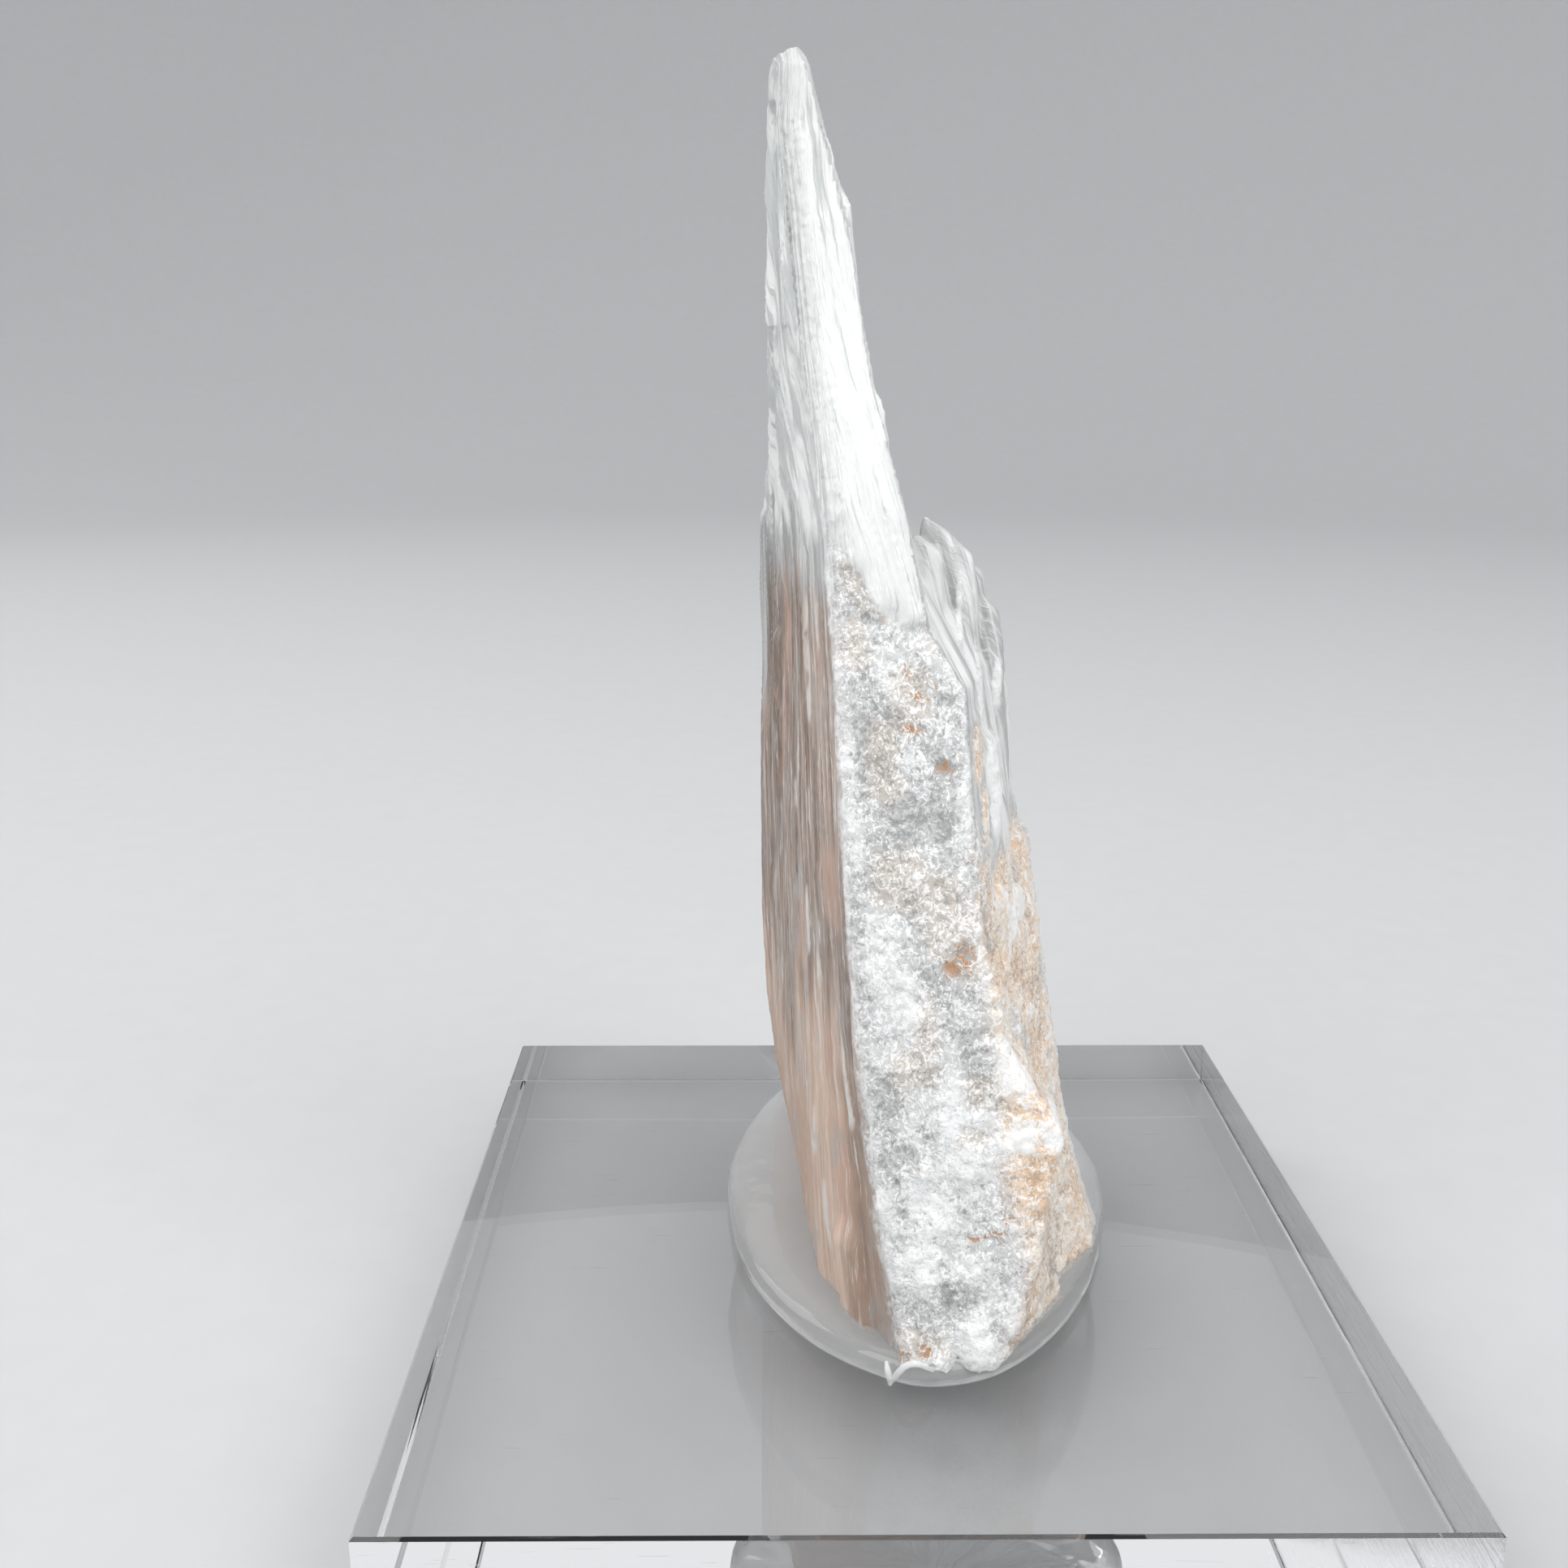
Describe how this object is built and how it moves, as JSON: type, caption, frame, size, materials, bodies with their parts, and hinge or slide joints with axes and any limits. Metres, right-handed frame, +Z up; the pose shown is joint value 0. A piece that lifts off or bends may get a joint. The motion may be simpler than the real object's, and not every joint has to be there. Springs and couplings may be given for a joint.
{
  "type": "selenite crystal on a clear acrylic base",
  "caption": "Slender upright selenite blade with a pale fibrous spire and a stepped side lobe, held in a clear gel pad on a clear acrylic block.",
  "frame": {"origin": "middle of the acrylic block's underside", "axes": "+Z up along the crystal, -Y towards the crystal's narrow front face, +X to the right seen from the front"},
  "size_m": [0.0508, 0.0508, 0.0722],
  "materials": {
    "acrylic": "clear, colourless cast acrylic with polished faces and sharp edges",
    "gel": "clear glossy adhesive gel with a rounded rim",
    "selenite": "translucent grey-white fibrous gypsum with a chalky white crust, beige tint and small rust spots"
  },
  "bodies": {
    "root": {"acrylic_base": "acrylic", "gel_pad": "gel", "selenite_crystal": "selenite"}
  },
  "joints": []
}
